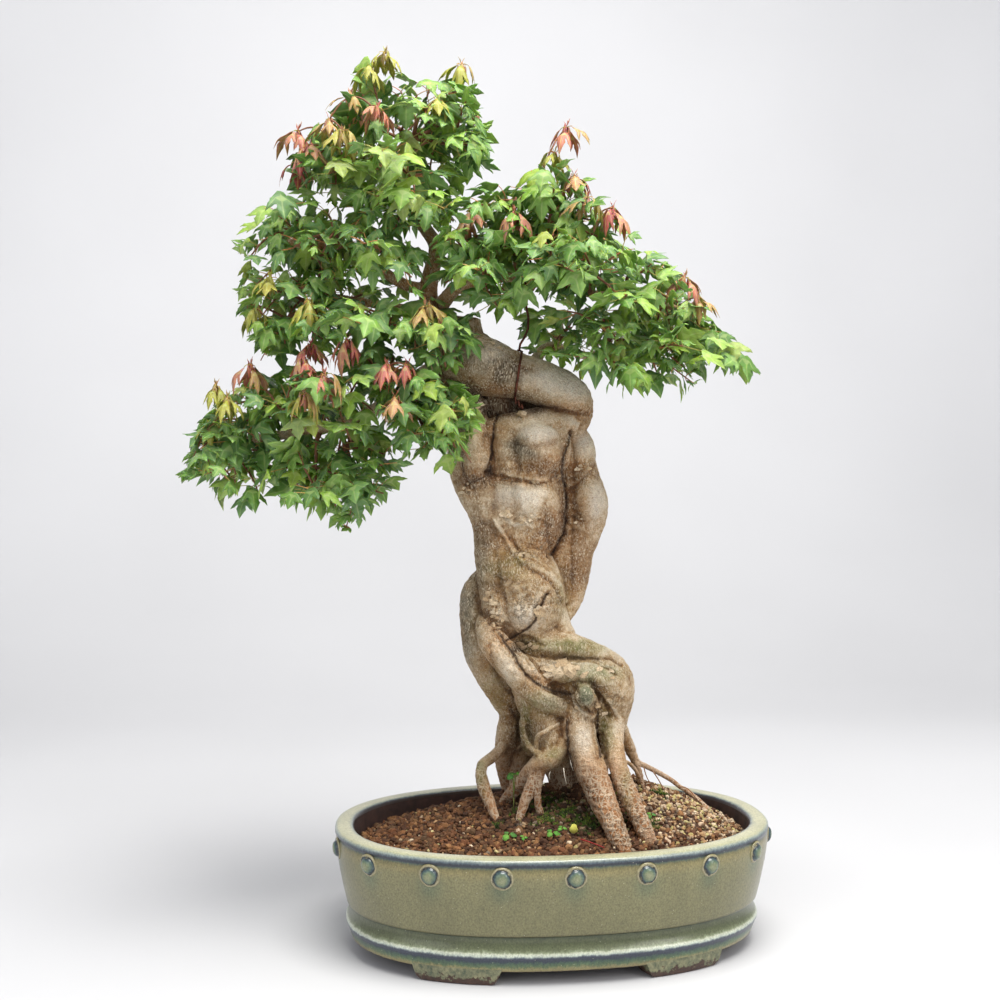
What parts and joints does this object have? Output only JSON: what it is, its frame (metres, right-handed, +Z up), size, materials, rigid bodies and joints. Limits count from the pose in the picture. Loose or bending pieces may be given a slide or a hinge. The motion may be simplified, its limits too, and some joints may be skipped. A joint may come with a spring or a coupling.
{
  "type": "potted bonsai tree",
  "caption": "Bonsai maple with a twisted, root-fused trunk and drooping leaf pads, standing in a filled oval glazed pot on feet.",
  "frame": {"origin": "middle of the underside of the whole object's box, level with the pot's soles", "axes": "+Z up along the trunk, +X to the right along the pot's long axis, -Y towards the front"},
  "size_m": [0.6158, 0.3136, 0.9081],
  "materials": {
    "celadon_glaze": "olive celadon stoneware glaze, satin to glossy, unglazed dark brown inside and under the feet",
    "screen_plastic": "black mesh",
    "akadama_soil": "fired clay granules, loose, reddish brown",
    "bark": "grey-beige living bark",
    "dark_copper": "annealed copper wire gone dark brown",
    "leaf_green": "living leaf, slightly waxy",
    "leaf_young": "young red leaf"
  },
  "bodies": {
    "root": {"pot": "celadon_glaze", "drain_screen_left": "screen_plastic", "drain_screen_right": "screen_plastic", "soil": "akadama_soil", "wood": "bark", "guy_wire": "dark_copper", "crown_1": "leaf_green", "crown_2": "leaf_green", "crown_3": "leaf_green", "crown_4": "leaf_green", "crown_5": "leaf_green", "crown_6": "leaf_green", "left_1": "leaf_green", "left_2": "leaf_green", "left_3": "leaf_green", "left_4": "leaf_green", "left_5": "leaf_green", "left_6": "leaf_green", "low_left_1": "leaf_green", "low_left_2": "leaf_green", "low_left_3": "leaf_green", "low_left_4": "leaf_green", "low_left_5": "leaf_green", "low_left_6": "leaf_green", "low_left_7": "leaf_green", "inner_1": "leaf_green", "right_1": "leaf_green", "right_2": "leaf_green", "right_3": "leaf_green", "right_4": "leaf_green", "right_5": "leaf_green", "right_6": "leaf_green", "right_7": "leaf_green", "right_8": "leaf_green", "right_9": "leaf_green", "right_10": "leaf_green", "young_shoot_1": "leaf_young", "young_shoot_2": "leaf_young", "young_shoot_3": "leaf_young", "young_shoot_4": "leaf_young", "young_shoot_5": "leaf_young", "young_shoot_6": "leaf_young"}
  },
  "joints": []
}
